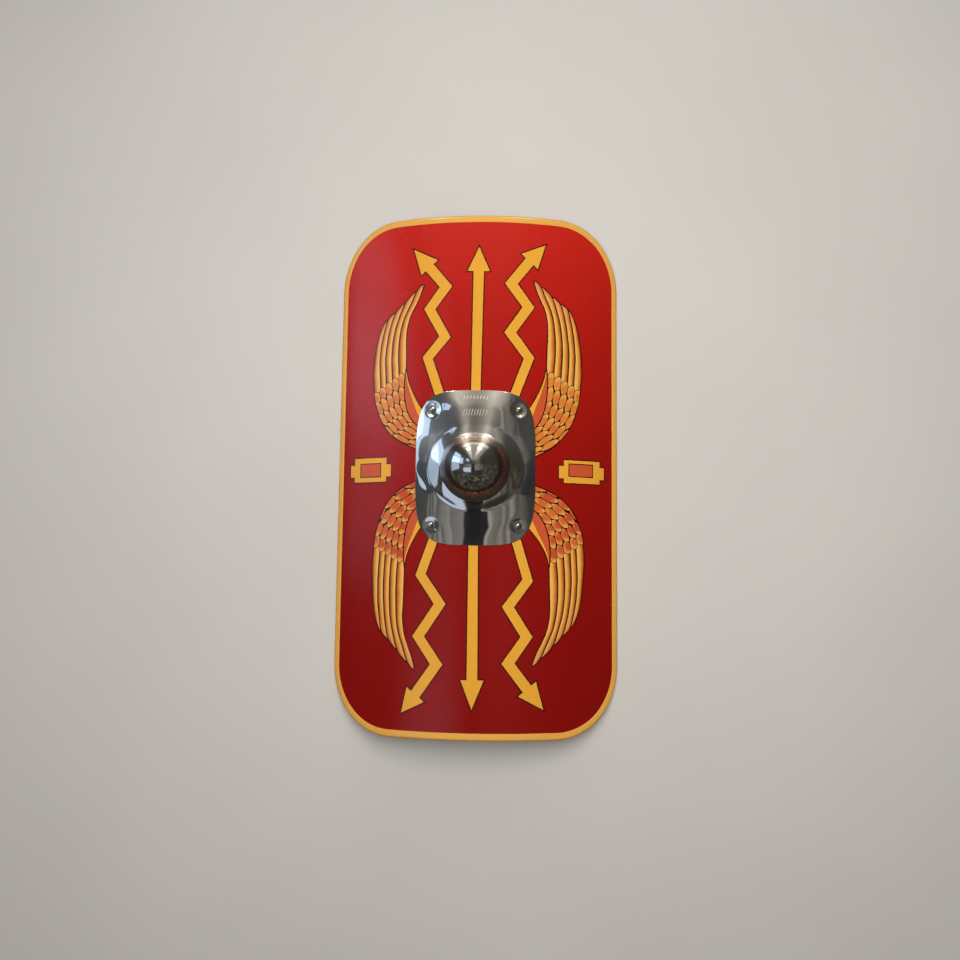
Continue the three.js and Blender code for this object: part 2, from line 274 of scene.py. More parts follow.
class Build:
    """Collects the faces of one piece, with the normal and the paint details of every corner."""

    def __init__(self):
        self.vertices, self.faces, self.normals, self.looks, self.strokes = [], [], [], [], []

    def add(self, places):
        first = len(self.vertices)
        self.vertices += [Vector(p) for p in places]
        return list(range(first, len(self.vertices)))

    def face(self, ids, look=0, normals=None, strokes=None):
        """A face. Without normals it is flat."""
        if normals is None:
            a, b, c, d = (self.vertices[ids[i]] for i in (0, 1, 2, -1))
            flat = (c - a).cross(d - b) if len(ids) == 4 else (b - a).cross(c - a)
            normals = [flat.normalized()] * len(ids)
        self.faces.append(tuple(ids))
        self.looks.append(look)
        self.normals += normals
        self.strokes += strokes or [(0.5, 0.5, 0.5)] * len(ids)

    def strip(self, lower, upper, look=0, smooth=None):
        """Quads between two closed rows, seen from outside with lower running anticlockwise below."""
        for corners in zip(lower, turned_on(lower), turned_on(upper), upper):
            self.face(corners, look, smooth and [smooth[i] for i in corners])

    def piece(self, name, materials, slot, node):
        mesh = bpy.data.meshes.new(name)
        mesh.from_pydata([v * MM for v in self.vertices], [], self.faces)
        for material in materials:
            mesh.materials.append(material)
        mesh.polygons.foreach_set("material_index", self.looks)
        mesh.polygons.foreach_set("use_smooth", [True] * len(self.faces))
        stroke = mesh.attributes.new("stroke", "FLOAT_VECTOR", "CORNER")
        stroke.data.foreach_set("vector", np.array(self.strokes, np.float32).ravel())
        mesh.normals_split_custom_set([tuple(n) for n in self.normals])
        mesh.update()
        settle(mesh, node)


def shown(mesh):
    """An object of the mesh and of its name, put in the scene."""
    thing = bpy.data.objects.new(mesh.name, mesh)
    bpy.context.scene.collection.objects.link(thing)
    return thing


def settle(mesh, node):
    """Makes a mesh into a piece that stands for a CAD node."""
    piece = shown(mesh)
    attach(piece, "root")
    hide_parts(node)
    return piece


def skin(made, rows, ends=()):
    """Quads between closed rows of vertices. Without ends the last row meets the first."""
    for lower, upper in zip(rows, rows[1:] if ends else turned_on(rows)):
        for corners in zip(lower, turned_on(lower), turned_on(upper), upper):
            made.faces.new(corners)
    for end, row in zip(ends, (rows[0][::-1], rows[-1])):
        for a, b in zip(row, turned_on(row)):
            made.faces.new((a, b, end))
    bmesh.ops.recalc_face_normals(made, faces=made.faces)
    return made


def closed_body(rows, ends):
    """A closed body over rows of points, from one end point to the other."""
    made = bmesh.new()
    ends = [made.verts.new(p) for p in ends]
    return skin(made, [[made.verts.new(p) for p in row] for row in rows], ends)


def turned(profile, steps=40):
    """A body turned about Z, from [radius, height] points that start and end on the axis."""
    rows = [[(x, y, z) for x, y in ring((0, 0), r, steps)] for r, z in profile[1:-1]]
    return closed_body(rows, [(0, 0, profile[0][1]), (0, 0, profile[-1][1])])


def moved(made, matrix):
    bmesh.ops.transform(made, matrix=matrix, verts=made.verts)
    return made


def smooth_piece(name, made, material, node, crease_angle=40):
    mesh = bpy.data.meshes.new(name)
    moved(made, TO_METRES).to_mesh(mesh)
    made.free()
    mesh.materials.append(material)
    mesh.polygons.foreach_set("use_smooth", [True] * len(mesh.polygons))
    mesh.set_sharp_from_angle(angle=math.radians(crease_angle))
    return settle(mesh, node)


def cut(piece, cutters):
    """Takes the cutters' bodies out of a piece."""
    mesh = bpy.data.meshes.new("cutters")
    tools = bmesh.new()
    for cutter in cutters:
        moved(cutter, TO_METRES).to_mesh(mesh)
        cutter.free()
        tools.from_mesh(mesh)
    tools.to_mesh(mesh)
    tools.free()
    tool = shown(mesh)
    modifier = piece.modifiers.new("cut", "BOOLEAN")
    modifier.operation, modifier.solver, modifier.object = "DIFFERENCE", "EXACT", tool
    bpy.context.view_layer.update()
    graph = bpy.context.evaluated_depsgraph_get()
    result = bpy.data.meshes.new_from_object(piece.evaluated_get(graph))
    piece.modifiers.clear()
    old, piece.data = piece.data, result
    bpy.data.objects.remove(tool)
    for spent in (old, mesh):
        bpy.data.meshes.remove(spent)


# ---------------------------------------------------------------- materials

MARK_DEPTH = 0.00002


def linear(red, green, blue):
    """A colour given from 0 to 255 as the eye sees it, as the shaders take it."""

    def one(value):
        value /= 255
        return value / 12.92 if value <= 0.04045 else ((value + 0.055) / 1.055) ** 2.4

    return (one(red), one(green), one(blue), 1.0)


class Nodes:
    """A material, or the world, and short ways to add to it."""

    def __init__(self, owner, shader="Principled BSDF"):
        owner.use_nodes = True
        self.owner, self.tree = owner, owner.node_tree
        self.shader = self.tree.nodes[shader]

    def put(self, value, socket):
        if isinstance(value, bpy.types.NodeSocket):
            self.tree.links.new(value, socket)
        else:
            socket.default_value = value

    def node(self, kind, links=None, **settings):
        made = self.tree.nodes.new("ShaderNode" + kind)
        for key, value in settings.items():
            setattr(made, key, value)
        for key, value in (links or {}).items():
            self.put(value, made.inputs[key])
        return made

    def where(self, kind="Object"):
        """Coordinates on the piece in metres, or another kind of them."""
        return self.node("TexCoord").outputs[kind]

    def split(self, vector):
        return self.node("SeparateXYZ", {0: vector}).outputs

    def stretched(self, *scale):
        return self.node("Mapping", {"Vector": self.where(), "Scale": scale}).outputs["Vector"]

    def noise(self, scale, detail=3.0, roughness=0.5, where=None, distortion=0.0):
        links = {"Scale": scale, "Detail": detail, "Roughness": roughness, "Distortion": distortion}
        links["Vector"] = where or self.where()
        return self.node("TexNoise", links).outputs["Fac"]

    def spread(self, value, low, high, to_low=0.0, to_high=1.0, kind="LINEAR"):
        """The value's range from low to high carried to another range."""
        links = {"Value": value, "From Min": low, "From Max": high, "To Min": to_low, "To Max": to_high}
        return self.node("MapRange", links, interpolation_type=kind).outputs["Result"]

    def ease(self, *ranges):
        return self.spread(*ranges, kind="SMOOTHSTEP")

    def math(self, operation, first, second=0.0):
        return self.node("Math", {0: first, 1: second}, operation=operation).outputs[0]

    def times(self, first, second):
        return self.math("MULTIPLY", first, second)

    def plus(self, first, second):
        return self.math("ADD", first, second)

    def mix(self, part, first, second, blend="MIX"):
        links = {0: part, 6: first, 7: second}
        return self.node("Mix", links, data_type="RGBA", blend_type=blend).outputs[2]

    def clouded(self, colour, clouds, darkest):
        """The colour, made darker and lighter by clouds."""
        shade = self.spread(clouds, 0.3, 0.7, darkest, 1.02)
        grey = self.node("CombineColor", {0: shade, 1: shade, 2: shade}).outputs[0]
        return self.mix(1.0, colour, grey, "MULTIPLY")

    def ramp(self, value, *stops):
        """Colours along a value: (position, colour) pairs."""
        made = self.node("ValToRGB", {"Fac": value})
        elements = made.color_ramp.elements
        while len(elements) < len(stops):
            elements.new(0.5)
        for element, (position, colour) in zip(elements, stops):
            element.position, element.color = position, colour
        return made.outputs["Color"]

    def tones(self, value, *stops):
        """Colours along a value: (position, red, green, blue), with the colours from 0 to 255."""
        return self.ramp(value, *((position, linear(*colour)) for position, *colour in stops))

    def bump(self, height, distance, strength=1.0, onto=None):
        links = {"Height": height, "Distance": distance, "Strength": strength}
        if onto is not None:
            links["Normal"] = onto
        return self.node("Bump", links).outputs["Normal"]

    def set(self, **inputs):
        for key, value in inputs.items():
            self.put(value, self.shader.inputs[key.replace("_", " ")])
        return self.owner


def painted(name):
    return Nodes(bpy.data.materials.new(name))


def satin_paint(name, colour_of, roughness=0.24, grain=0.00003, scuffs=0.0):
    """Hand-laid satin paint. colour_of(nodes) gives the colour before the clouds, scuffs and brush marks."""
    n = painted(name)
    colour = n.clouded(colour_of(n), n.noise(9, 4, 0.55), 0.965)
    rough = n.spread(n.noise(35, 5, 0.65), 0.3, 0.7, roughness - 0.03, roughness + 0.05)
    if scuffs:
        strokes = n.noise(60, 4, 0.6, n.stretched(1.0, 0.08, 1.0))
        colour = n.mix(n.spread(strokes, 0.45, 0.75, 0.0, scuffs), colour, linear(52, 14, 12))
        rough = n.plus(rough, n.spread(strokes, 0.4, 0.7, 0.0, 0.15))
    laid = n.noise(420, 3, 0.6, n.stretched(1.0, 0.12, 1.0))
    normal = n.bump(n.noise(60, 2, 0.4), grain * 6, 0.12, n.bump(laid, grain, 0.25))
    return n.set(Base_Color=colour, Roughness=rough, Specular_IOR_Level=0.32, Normal=normal)


def plain(*colour):
    return lambda n: linear(*colour)


def red_ground(n):
    """Red, darker towards the foot of the shield and lighter towards its top."""
    height = n.spread(n.split(n.where())["Y"], -SHIELD_HEIGHT / 2 * MM, SHIELD_HEIGHT / 2 * MM)
    return n.tones(
        height,
        (0.0, 137, 12, 9), (0.3, 142, 14, 10), (0.55, 157, 18, 12), (0.8, 181, 28, 19), (1.0, 203, 38, 27),
    )


def stroke_values(n):
    """The three values that the paint of the feathers and scales carries at each place."""
    return n.split(n.node("Attribute", attribute_name="stroke").outputs["Vector"])


def feather_colour(n):
    """Pale gold on the side of the arrows, brown in the shade of the next feather, rosy at the free tip."""
    across, from_tip, _ = stroke_values(n)
    wander = n.spread(n.noise(28, 3, 0.6), 0.3, 0.7, -0.07, 0.07)
    body = n.tones(
        n.plus(across, wander),
        (0.0, 224, 150, 66), (0.16, 250, 192, 106), (0.45, 240, 168, 72),
        (0.68, 208, 124, 44), (0.88, 158, 78, 26), (1.0, 122, 52, 18),
    )
    return n.mix(n.spread(from_tip, 0.0, 0.4, 0.55, 0.0), body, linear(226, 140, 88))


def scale_colour(n):
    """Orange in the middle of each small feather, golden round its rim."""
    from_heart, _, tint = stroke_values(n)
    wander = n.spread(n.noise(120, 3, 0.6), 0.3, 0.7, -0.12, 0.12)
    deep = n.mix(tint, linear(200, 76, 44), linear(226, 138, 58))
    return n.mix(n.spread(n.plus(from_heart, wander), 0.5, 1.1), deep, linear(242, 172, 84))


def on_boss(n):
    """Places on the boss: across it, along the shield, and along it and outwards from the boss's middle."""
    x, y, _ = n.split(n.where())
    off = n.math("SUBTRACT", y, BOSS_CENTRE_Y * MM)
    return x, y, off, n.math("SQRT", n.plus(n.times(x, x), n.times(off, off)))


def mirror_finish(n, colour, rough):
    """A clear sheen over marks drawn round the middle: duller at the rubbed top, with painted shade that
    darkens the steel in the lower half.
    """
    x, y, _, radius = on_boss(n)
    top = n.ease(y, (BOSS_CENTRE_Y + 72) * MM, (BOSS_CENTRE_Y + 118) * MM)
    middle = n.ease(n.math("ABSOLUTE", x), 45 * MM, 95 * MM, 1.0, 0.0)
    worn = n.spread(n.noise(160, 4, 0.7), 0.35, 0.65, 0.75, 1.0)
    rough = n.plus(rough, n.times(n.times(n.times(top, middle), worn), 0.16))
    # Painted shade: the steel's colour is darker below the middle of the boss.
    painted_shade_below = n.ease(y, (BOSS_CENTRE_Y - 15) * MM, (BOSS_CENTRE_Y + 60) * MM)
    colour = n.mix(painted_shade_below, linear(112, 110, 108), colour)
    rim = n.times(n.ease(radius, 52 * MM, 60 * MM), n.ease(radius, 66 * MM, 69 * MM, 1.0, 0.0))
    n.set(Tangent=n.node("Tangent", direction_type="RADIAL", axis="Z").outputs[0])
    n.set(Anisotropic=0.94, Anisotropic_Rotation=0.25)
    n.set(Coat_Normal=n.bump(n.times(rim, n.noise(700, 2, 0.6)), 0.0012, 0.6))
    n.set(Coat_Weight=1.0, Coat_Roughness=0.03, Coat_IOR=5.0)
    return colour, rough


def steel(name, roughness, tint, marks, mirror=False):
    """Steel with fine marks. marks(nodes) gives their height, from 0 to 1."""
    n = painted(name)
    lines = marks(n)
    smears = n.noise(22, 5, 0.6)
    dull = linear(tint[0] - 26, tint[1] - 28, tint[2] - 32)
    colour = n.mix(n.spread(smears, 0.35, 0.75, 0.0, 0.35), linear(*tint), dull)
    rough = n.spread(smears, 0.35, 0.7, roughness - 0.03, roughness + 0.05)
    rough = n.plus(rough, n.spread(lines, 0.4, 0.8, 0, 0.04))
    if mirror:
        colour, rough = mirror_finish(n, colour, rough)
    normal = n.bump(lines, MARK_DEPTH, 0.1 if mirror else 0.25)
    return n.set(Base_Color=colour, Metallic=1.0, Roughness=rough, Normal=normal)


def ring_marks(n):
    """Fine rings round the middle of the boss, as left by polishing it on a wheel."""
    x, _, off, radius = on_boss(n)
    turn = n.times(n.math("ARCTAN2", off, x), 0.004)
    return n.noise(1500, 3, 0.6, n.node("CombineXYZ", {0: radius, 1: turn}).outputs[0])


def even_marks(n):
    return n.noise(700, 3, 0.6)


def oiled_wood(name):
    n = painted(name)
    figure = n.noise(55, 5, 0.55, n.stretched(0.09, 1.0, 1.0), 0.6)
    pores = n.noise(700, 2, 0.5, n.stretched(0.04, 1.0, 1.0))
    worn = n.noise(14, 3, 0.5)
    colour = n.tones(figure, (0.3, 112, 70, 38), (0.5, 146, 96, 54), (0.7, 172, 122, 74))
    colour = n.mix(n.spread(pores, 0.56, 0.72, 0.0, 0.55), colour, linear(74, 44, 24))
    colour = n.mix(n.spread(worn, 0.5, 0.75, 0.0, 0.35), colour, linear(84, 52, 30))
    normal = n.bump(pores, 0.00012, 0.4, n.bump(figure, 0.0003, 0.25))
    return n.set(Base_Color=colour, Roughness=n.spread(worn, 0.3, 0.7, 0.36, 0.55), Normal=normal)


RED, LINE, GOLD, VERMILION, FEATHER, SCALE, BACK = range(7)
board_paints = [
    satin_paint("red_paint", red_ground),
    satin_paint("line_paint", plain(52, 12, 5), 0.3),
    satin_paint("gold_paint", plain(238, 170, 58)),
    satin_paint("vermilion_paint", plain(206, 88, 50)),
    satin_paint("feather_paint", feather_colour),
    satin_paint("scale_paint", scale_colour),
    satin_paint("back_paint", plain(104, 24, 20), 0.5, 0.0001, 0.5),
]
edging_paint = satin_paint("edging_paint", plain(238, 176, 82))
boss_steel = steel("boss_steel", 0.32, (192, 189, 184), ring_marks, mirror=True)
boss_inside = steel("boss_inside", 0.38, (150, 147, 142), ring_marks)
engraved_steel = steel("engraved_steel", 0.5, (240, 236, 226), even_marks)
rivet_steel = steel("rivet_steel", 0.26, (196, 194, 190), even_marks)
screw_steel = steel("screw_steel", 0.32, (160, 158, 154), even_marks)
grip_wood = oiled_wood("grip_wood")

# ---------------------------------------------------------------- the painted figures

LINE_WIDTH = 2.5
SCALE_LINE = 1.25
FIELD_LINE = 2.0
TAB_LINE = 2.2
TIP_SHADE = 150
# How many points at the foot of the first and the last feather edge are left without a line.
INNER_EDGE_END, OUTER_EDGE_END = 7, 18
# How many scales fit side by side in each row, from the feathers to the root, on the upper and lower wings.
SCALES_IN_ROW = {1: (5, 5, 5, 4.6, 4.2, 3.8, 3.4), -1: (5, 5, 4.4, 3.8, 3.4, 3, 3)}

# Edges of the five long feathers of the upper right wing, from the arrows' side outwards.
FEATHER_EDGES = [
    [
        (114, 388), (122, 366), (131, 348), (139, 328), (143, 310), (145, 293), (145, 275), (144, 251),
        (143, 226), (143, 190),
    ],
    [
        (113, 386), (115.5, 390), (121, 388), (127, 381), (133, 372), (139, 357), (147, 338),
        (153, 322), (158, 300), (161, 276), (162, 252), (161, 227), (157, 180),
    ],
    [
        (129.5, 377), (134, 376), (141, 370), (149, 362), (155, 352), (160, 338), (165, 320),
        (171, 300), (175, 279), (177, 256), (177, 229), (173, 170),
    ],
    [
        (152.5, 355), (157, 353.5), (163, 348), (169, 341), (174, 332.5), (178, 319), (184, 298),
        (188, 278), (191, 256), (192, 230), (188, 160),
    ],
    [
        (171.5, 336), (176, 334.5), (181, 330), (186, 325), (190, 317.5), (194, 305), (199, 288),
        (203, 270), (205, 250), (206, 229), (201, 150),
    ],
    [
        (187.5, 322), (193, 318), (200, 309), (206.5, 297), (212, 282), (216, 265), (219, 248),
        (221, 228), (222, 201), (218, 150),
    ],
]
WING_OUTSIDE = [
    (222, 215), (222, 201), (220, 178), (218, 157), (212, 135), (203, 110), (192, 89), (180, 73),
    (165, 58), (144, 44), (112, 28),
]
WING_INSIDE = [
    (143, 213), (145, 198), (146, 177), (144, 148), (138, 121), (127, 98), (114, 84), (92, 66),
]
CRESCENT_OUTSIDE = [(143, 213), (141, 206), (136, 185), (127, 163), (117, 144), (107, 128), (88, 104)]
CRESCENT_MIDDLE = [(143.6, 208), (140, 185), (133, 162), (123, 136), (113, 110), (96, 80)]
# Ends of each row of scales, on the inside and on the outside of the wing.
ROWS_INSIDE = [
    (143, 213), (143, 182), (143, 153), (137, 127), (127, 102), (107, 80), (82, 64), (55, 50), (30, 40),
]
ROWS_OUTSIDE = [
    (220, 172), (217, 150), (207, 121), (194, 93), (175, 67), (147, 44), (112, 23), (75, 8), (45, 0),
]
# One scale, across its column and along the rows. Its tip is the first corner.
SCALE_INNER_SIDE = [
    (1, 0), (0.64, 0.08), (0.3, 0.28), (0.08, 0.54), (0.01, 0.8), (0.08, 1.06), (0.36, 1.3),
]
SCALE_OUTER_SIDE = [(0.36, 1.3), (0.74, 1.2), (1.02, 0.94), (1.16, 0.62), (1.18, 0.28), (1, 0)]
SCALE_STEP = 0.11
SCALE_HEART = 0.78, 0.72

# Each wing was laid by hand. These places on the pattern, its tip, shoulder, heel, notch and root, lie a
# little elsewhere on each wing, and the rest of the pattern follows them.
WING_HANDLES = [
    (114, 388), (131, 348), (145, 275), (143, 207), (107, 128),
    (189, 318), (221, 240), (220, 172), (194, 93), (121, 32),
]
WINGS = {
    (1, 1): [
        (115, 389), (131, 348), (145, 275), (143, 207), (106, 127),
        (189, 335), (220, 240), (218, 172), (194, 93), (121, 31),
    ],
    (-1, 1): [
        (110, 382), (127, 340), (146, 272), (146, 206), (112, 130),
        (190, 313), (221, 230), (219, 165), (195, 98), (123, 47),
    ],
    (-1, -1): [
        (116, 389), (131, 345), (142, 260), (142, 183), (108, 113),
        (190, 317), (214, 225), (212, 153), (190, 75), (124, 20),
    ],
    (1, -1): [
        (116, 379), (136, 335), (152, 262), (151, 182), (110, 115),
        (196, 305), (225, 215), (225, 141), (199, 76), (121, 27),
    ],
}

# The arrows' middle lines, from under the boss to the point: upwards or downwards, to the right or the left.
ARROWS = {
    (1, 1): [
        (70, 134), (106.4, 231), (67.4, 282.3), (104.5, 335.5), (69, 383.3), (106.4, 431), (139.9, 468),
    ],
    (-1, 1): [
        (67, 136), (99.7, 230.7), (64.5, 273.3), (97.3, 331.5), (64, 376.9), (99, 418.5),
        (133.2, 458.6),
    ],
    (-1, -1): [
        (81, 134), (106.9, 205.5), (66.6, 262.2), (109.5, 326.2), (71.9, 379.8), (113.7, 439),
        (142.5, 475.7),
    ],
    (1, -1): [
        (83, 136), (106.9, 214.2), (67.9, 266.7), (105.4, 324.6), (68.9, 375.9), (107, 424.8),
        (140.1, 465.4),
    ],
}
MIDDLE_ARROWS = {
    (1, 1): [(-0.8, 130), (2.6, 408), (3.1, 458.5)],
    (1, -1): [(-1.8, 130), (-0.9, 408.5), (-1.3, 465)],
}
ARROW_WIDTHS = 18.5, 21
ARROW_HEAD = 45.5
# The oblong at each side, between its edges, with a notch at every corner, and the red field on it.
NOTCH_LENGTH, EAR_LOW, EAR_HIGH = 10.5, -14, 11
TABS = {
    -1: ((186, 263), (-19, 30), ((200, 247), (-8, 17.5))),
    1: ((181, 262.5), (-18.8, 27.2), ((193, 245), (-4.5, 19))),
}

# Shapes from the topmost down: (outline, paint, the paint's corner values, the region that it keeps to).
shapes = []


def lay(region, paint, strokes=None, within=None):
    shapes.append((turned_left(np.array(region, float)), paint, strokes, within))


def lay_outlined(region, paint, width=LINE_WIDTH):
    lay(region, paint)
    lay(grown(region, width), LINE)


def scale_rim(region, heart, tint):
    """The corner values of one scale: how near its rim, how far from its heart, and its tint."""
    far = np.linalg.norm(region - heart, axis=1).max()

    def values(points):
        away = np.linalg.norm(points - heart, axis=1) / far
        return np.stack([np.clip(away * 1.5 - 0.1, 0, 1), away, np.full(len(points), tint)], 1)

    return values


def along_feather(inner, outer, side):
    """The corner values of one feather: across it from its inner edge, and along it from its tip."""

    def across_at(edge, height):
        order = np.argsort(side * edge[:, 1])
        return np.interp(height, side * edge[order, 1], np.abs(edge[order, 0]))

    def values(points):
        height = side * points[:, 1]
        low, high = across_at(inner, height), across_at(outer, height)
        part = (np.abs(points[:, 0]) - low) / np.maximum(high - low, 0.5)
        from_tip = (side * outer[0, 1] - height) / TIP_SHADE
        return np.stack([np.clip(part, 0, 1), np.clip(from_tip, 0, 1), np.full(len(points), 0.5)], 1)

    return values


def lay_wing(sides):
    handles, elsewhere = np.array(WING_HANDLES, float), np.array(WINGS[sides], float)

    def distances(points):
        return np.linalg.norm(points[:, None] - handles, axis=2)

    pull = np.linalg.solve(distances(handles), elsewhere - handles)

    def put(points):
        points = np.array(points, float)
        return (points + distances(points) @ pull) * sides

    edges = [curve(put(e)) for e in FEATHER_EDGES]
    inside, outside, crescent, middle = (
        curve(put(line)) for line in (WING_INSIDE, WING_OUTSIDE, CRESCENT_OUTSIDE, CRESCENT_MIDDLE)
    )
    for line in (edges[0][:-INNER_EDGE_END], edges[-1][:-OUTER_EDGE_END], outside, inside, crescent):
        lay(band(line, LINE_WIDTH), LINE)
    lay(np.vstack([crescent, middle[::-1]]), GOLD)
    lay(np.vstack([middle, inside[::-1]]), VERMILION)

    foot = edges[0][-(len(edges[0]) // 2) :]
    field = turned_left(np.vstack([foot, inside, outside[::-1], edges[-1][::-1]]))
    rows_in, rows_out = put(ROWS_INSIDE), put(ROWS_OUTSIDE)

    def at(across, row):
        low = min(int(row), len(rows_in) - 2)
        start = lerp(rows_in[low], rows_in[low + 1], row - low)
        end = lerp(rows_out[low], rows_out[low + 1], row - low)
        return lerp(start, end, across)

    leaf = np.vstack([curve(side, SCALE_STEP)[:-1] for side in (SCALE_INNER_SIDE, SCALE_OUTER_SIDE)])
    for row, columns in reversed(list(enumerate(SCALES_IN_ROW[sides[1]]))):
        for column in range(int(columns) + 1):
            region = turned_left(np.array([at((column + a) / columns, row + b) for a, b in leaf]))
            tint = 0.5 * chance.random() + (0.5 if sides[1] > 0 else 0.0)
            heart = at((column + SCALE_HEART[0]) / columns, row + SCALE_HEART[1])
            lay(grown(region, -SCALE_LINE), SCALE, scale_rim(region, heart, tint), field)
            lay(region, LINE, None, field)

    for line in edges[1:-1]:
        lay(band(line, LINE_WIDTH), LINE)
    for inner, outer in zip(edges, edges[1:]):
        start = np.argmin(np.linalg.norm(inner - outer[0], axis=1))
        lay(np.vstack([outer, inner[start:][::-1]]), FEATHER, along_feather(inner, outer, sides[1]))
    lay(field, LINE)


def lay_arrow(route, sides):
    route = np.array(route, float) * sides
    shaft, tip = route[:-1], route[-1]
    half = side_ways(shaft) * (np.linspace(*ARROW_WIDTHS, len(shaft)) / 2)[:, None]
    ahead = tip - shaft[-1]
    barb = np.array([ahead[1], -ahead[0]]) / np.linalg.norm(ahead) * ARROW_HEAD / 2
    head = [shaft[-1] + barb, tip, shaft[-1] - barb]
    lay_outlined(np.vstack([shaft + half, head, (shaft - half)[::-1]]), GOLD)


def oblong(across, along):
    (left, right), (low, high) = across, along
    return np.array([(left, low), (right, low), (right, high), (left, high)], float)


def lay_tab(side):
    (left, right), (low, high), field = TABS[side]
    middle = (low + high) / 2
    body = oblong((left, right), (low, high))
    ears = oblong((left - NOTCH_LENGTH, right + NOTCH_LENGTH), (middle + EAR_LOW, middle + EAR_HIGH))
    outline = [body[0], body[1], (right, ears[0, 1]), ears[1], ears[2], (right, ears[2, 1])]
    outline += [body[2], body[3], (left, ears[2, 1]), ears[3], ears[0], (left, ears[0, 1])]
    lay_outlined(oblong(*field) * (side, 1), VERMILION, FIELD_LINE)
    lay_outlined(np.array(outline) * (side, 1), GOLD, TAB_LINE)


chance = random.Random(7)
for quadrant in QUADRANTS.values():
    lay_arrow(ARROWS[quadrant], quadrant)
    lay_wing(quadrant)
for turn, route in MIDDLE_ARROWS.items():
    lay_arrow(route, turn)
for side in TABS:
    lay_tab(side)

# ---------------------------------------------------------------- board

CLEAR_OF_EDGES = 4
HAND_HOLE_STEPS = 96
RIVET_STEPS = 16
SCREW_STEPS = 12
# Points inside the sheet: half the width and height that they fill, and their steps.
BOARD_GRID = 290, 510, 10, 20


def rounded_outline(half_width, half_height, radius, corner_steps, straight_step):
    return subdivided(rounded(half_width, half_height, radius, corner_steps), straight_step)


def four_places(across, along):
    """Places for four fasteners, as far as this from the middle of the boss, by the name of the corner."""
    return {name: (x * across, BOSS_CENTRE_Y + y * along) for name, (x, y) in QUADRANTS.items()}


RIVETS = four_places(RIVET_ACROSS, RIVET_ALONG)
SCREWS = four_places(SCREW_ACROSS, SCREW_ALONG)


def upright_ring(x, y, radius, steps, out):
    """A round hole bored straight down, where it meets a bent surface, on the flat shield."""
    flat = ring((x, y), radius, steps)
    flat[:, 0] = FACE_RADIUS * np.arcsin(flat[:, 0] / (FACE_RADIUS + out))
    return flat


def make_board():
    half_width = SHIELD_ARC / 2 - BEAD_RADIUS
    half_height = SHIELD_HEIGHT / 2 - BEAD_RADIUS
    outline = rounded_outline(half_width, half_height, CORNER_RADIUS - BEAD_RADIUS, 32, 10)
    rivets = [ring(place, RIVET_SHANK + GAP, RIVET_STEPS) for place in RIVETS.values()]
    grid = grid_over(*BOARD_GRID)
    build = Build()

    def side(out, blind, figures):
        """The painted face, or the back with the screws' holes. It returns its outline and openings."""
        hand = upright_ring(0, BOSS_CENTRE_Y, HAND_HOLE_RADIUS, HAND_HOLE_STEPS, out)
        holes = [hand, *rivets]
        if blind:
            holes += [upright_ring(x, y, SCREW_SHANK + GAP, SCREW_STEPS, out) for x, y in SCREWS.values()]
        sheet = Sheet()
        loops = [sheet.loop(r) for r in (outline, *holes)]
        within = turns_round(grown(outline, -CLEAR_OF_EDGES), grid) > 0
        within &= turns_round(grown(hand, CLEAR_OF_EDGES), grid) == 0
        sheet.scatter(grid[within])
        for region, *_ in figures:
            sheet.loop(region)
        sheet.divide().keep(outline, holes)
        ids = build.add(bend(x, y, out) for x, y in sheet.vertices)
        normals = {i: outward(x) * (-1 if blind else 1) for i, (x, _) in zip(ids, sheet.vertices)}
        paints = np.full(len(sheet.triangles), BACK if blind else RED)
        strokes = np.full((len(sheet.triangles), 3, 3), 0.5)
        free = np.ones(len(sheet.triangles), bool)
        for region, paint, values, only in figures:
            found = free & (turns_round(region, sheet.middles) > 0)
            if only is not None:
                found &= turns_round(only, sheet.middles) > 0
            paints[found] = paint
            free &= ~found
            if values and found.any():
                corners = sheet.vertices[sheet.triangles[found]]
                strokes[found] = values(corners.reshape(-1, 2)).reshape(-1, 3, 3)
        for triangle, paint, stroke in zip(sheet.triangles, paints, strokes):
            corners = [ids[i] for i in triangle]
            stroke = [tuple(s) for s in stroke]
            if blind:
                corners, stroke = corners[::-1], stroke[::-1]
            build.face(corners, int(paint), [normals[i] for i in corners], stroke)
        return [[ids[sheet.places[i]] for i in loop] for loop in loops]

    front = side(0, False, shapes)
    back = side(-BOARD_THICKNESS, True, [])
    build.strip(back[0], front[0], BACK)
    for lower, upper in zip(back[1:], front[1:]):
        build.strip(upper, lower, BACK)
    for (x, y), mouth in zip(SCREWS.values(), back[len(front) :]):
        tip = level_at(x, FACE_RADIUS) - SCREW_COVER + GAP
        top = build.add(Vector((*p, tip)) for p in ring((x, y), SCREW_SHANK + GAP, SCREW_STEPS))
        build.strip(top, mouth, BACK)
        build.face(top[::-1], BACK)
    build.piece("painted_board", board_paints, "board_paint", "board")


# ---------------------------------------------------------------- edging

LIP_WANDER = 0.35


def edging_section():
    """The channel's section: out from the outermost line, and out from the painted face."""
    middle = -BOARD_THICKNESS / 2
    inner = BEAD_RADIUS - EDGING_SHEET
    lip = [
        (0, inner), (0, BEAD_RADIUS - 0.6), (0.18, BEAD_RADIUS - 0.18), (0.6, BEAD_RADIUS), (4, BEAD_RADIUS),
    ]

    def arc(radius, steps, way):
        angles = [way * (math.pi / 2 - math.pi * i / steps) for i in range(steps + 1)]
        return [(-BEAD_RADIUS + radius * math.cos(a), middle + radius * math.sin(a)) for a in angles]

    front, back = ([(-EDGING_DEPTH + x, middle + way * y) for x, y in lip] for way in (1, -1))
    return front + arc(BEAD_RADIUS, 18, 1) + back[::-1] + arc(inner, 12, -1)


